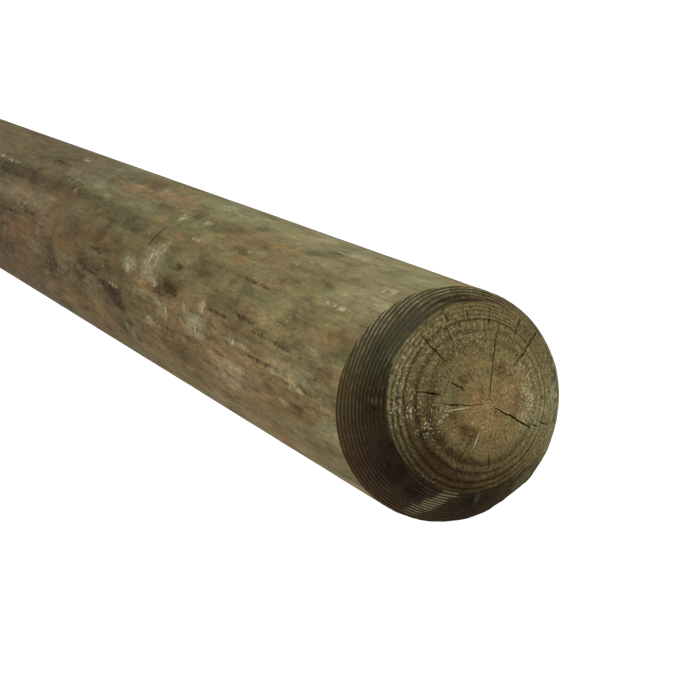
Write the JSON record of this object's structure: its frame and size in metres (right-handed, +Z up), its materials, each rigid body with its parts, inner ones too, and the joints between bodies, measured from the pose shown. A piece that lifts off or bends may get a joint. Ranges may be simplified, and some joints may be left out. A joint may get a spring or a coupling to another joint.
{
  "type": "timber pole",
  "caption": "Round treated pine pole, chamfered and then sawn off out of square at the top, with worn growth rings on its chamfers and drying checks in its sawn ends. Set upright in the ground.",
  "frame": {"origin": "middle of the foot's sawn face, on the shaft's centre line", "axes": "+Z up the pole from the foot to the top; the slanted top is highest 27 degrees round from +X towards -Y, where its chamfer is widest"},
  "size_m": [0.15, 0.15, 2.4],
  "materials": {
    "treated_pine": "machine-rounded, pressure-treated and weathered, dull olive grey-green with tan and brown patches"
  },
  "bodies": {
    "root": {"pole": "treated_pine"}
  },
  "joints": []
}
